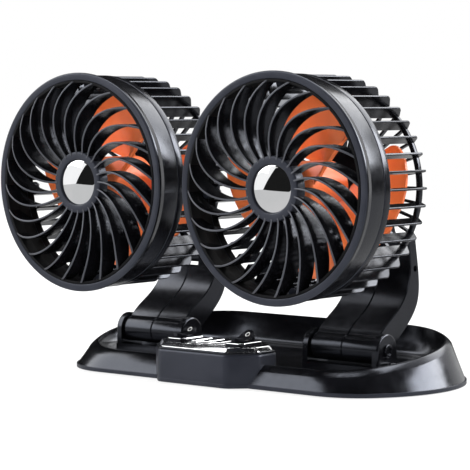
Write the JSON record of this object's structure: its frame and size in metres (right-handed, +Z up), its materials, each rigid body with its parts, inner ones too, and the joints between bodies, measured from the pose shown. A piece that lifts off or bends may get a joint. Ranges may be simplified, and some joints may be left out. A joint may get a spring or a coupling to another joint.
{
  "type": "dual head fan",
  "caption": "Two caged fan heads with swept grilles and paddle impellers on folding arms, standing on a tray-shaped base with a rocker switch box at its front.",
  "frame": {"origin": "centre of the bounding box in plan, at the surface that the rubber pads stand on", "axes": "+Z up; the fans blow towards -Y, so the front with the switch box faces -Y; X runs along the base, +X to the right as seen from the front"},
  "size_m": [0.234, 0.1412, 0.1544],
  "materials": {
    "gloss_black": "polished black",
    "satin_plastic": "satin dark grey",
    "orange_plastic": "smooth orange",
    "chrome_cap": "mirror",
    "chrome_trim": "bright",
    "pad_rubber": "matt",
    "screw_steel": "plain",
    "motor_steel": "drawn can",
    "board_green": "solder mask"
  },
  "bodies": {
    "base": {"base_cover": "gloss_black", "base_pads": "pad_rubber", "base_plate": "satin_plastic", "bracket_left": "gloss_black", "bracket_right": "gloss_black", "bracket_screws": "screw_steel", "case_screws": "screw_steel", "circuit_board": "board_green", "control_box": "satin_plastic", "control_top": "gloss_black", "cord_gland": "pad_rubber", "hinge_pin_left": "screw_steel", "hinge_pin_right": "screw_steel", "switch_left": "gloss_black", "switch_right": "gloss_black", "trim_lower": "gloss_black", "trim_middle": "chrome_trim", "trim_upper": "chrome_trim"},
    "rocker_left": {"rocker_left": "gloss_black"},
    "arm_left": {"arm_inner_left": "gloss_black", "arm_outer_left": "gloss_black", "arm_screws_left": "screw_steel", "tilt_pin_left": "screw_steel"},
    "neck_left": {"neck_left": "gloss_black", "swivel_pin_left": "screw_steel"},
    "head_left": {"front_shell_left": "satin_plastic", "grille_left": "gloss_black", "hub_cap_left": "chrome_cap", "cage_left": "gloss_black", "head_screws_left": "screw_steel", "motor_left": "motor_steel", "motor_cover_left": "gloss_black"},
    "impeller_left": {"impeller_left": "orange_plastic", "shaft_left": "screw_steel"},
    "rocker_right": {"rocker_right": "gloss_black"},
    "arm_right": {"arm_inner_right": "gloss_black", "arm_outer_right": "gloss_black", "arm_screws_right": "screw_steel", "tilt_pin_right": "screw_steel"},
    "neck_right": {"neck_right": "gloss_black", "swivel_pin_right": "screw_steel"},
    "head_right": {"front_shell_right": "satin_plastic", "grille_right": "gloss_black", "hub_cap_right": "chrome_cap", "cage_right": "gloss_black", "head_screws_right": "screw_steel", "motor_right": "motor_steel", "motor_cover_right": "gloss_black"},
    "impeller_right": {"impeller_right": "orange_plastic", "shaft_right": "screw_steel"}
  },
  "joints": [
    {"name": "arm_left_fold", "type": "hinge", "parent": "base", "child": "arm_left", "pos_m": [-0.062, -0.00395, 0.0195], "axis": [1, 0, 0], "range_deg": [-30, 12]},
    {"name": "head_left_tilt", "type": "hinge", "parent": "arm_left", "child": "neck_left", "pos_m": [-0.062, 0.02505, 0.0575], "axis": [1, 0, 0], "range_deg": [-25, 10]},
    {"name": "head_left_swivel", "type": "hinge", "parent": "neck_left", "child": "head_left", "pos_m": [-0.062, 0.00905, 0.0792], "axis": [0, 0, 1], "range_deg": [-35, 4]},
    {"name": "impeller_left_spin", "type": "hinge", "parent": "head_left", "child": "impeller_left", "pos_m": [-0.062, -0.03395, 0.0994], "axis": [0, -1, 0], "continuous": true},
    {"name": "rocker_left_press", "type": "hinge", "parent": "base", "child": "rocker_left", "pos_m": [-0.01875, -0.03285, 0.0208], "axis": [1, 0, 0], "range_deg": [-28, 0]},
    {"name": "arm_right_fold", "type": "hinge", "parent": "base", "child": "arm_right", "pos_m": [0.062, -0.00395, 0.0195], "axis": [1, 0, 0], "range_deg": [-30, 12]},
    {"name": "head_right_tilt", "type": "hinge", "parent": "arm_right", "child": "neck_right", "pos_m": [0.062, 0.02505, 0.0575], "axis": [1, 0, 0], "range_deg": [-25, 10]},
    {"name": "head_right_swivel", "type": "hinge", "parent": "neck_right", "child": "head_right", "pos_m": [0.062, 0.00905, 0.0792], "axis": [0, 0, 1], "range_deg": [-4, 35]},
    {"name": "impeller_right_spin", "type": "hinge", "parent": "head_right", "child": "impeller_right", "pos_m": [0.062, -0.03395, 0.0994], "axis": [0, -1, 0], "continuous": true},
    {"name": "rocker_right_press", "type": "hinge", "parent": "base", "child": "rocker_right", "pos_m": [0.01875, -0.03285, 0.0208], "axis": [1, 0, 0], "range_deg": [-28, 0]}
  ]
}
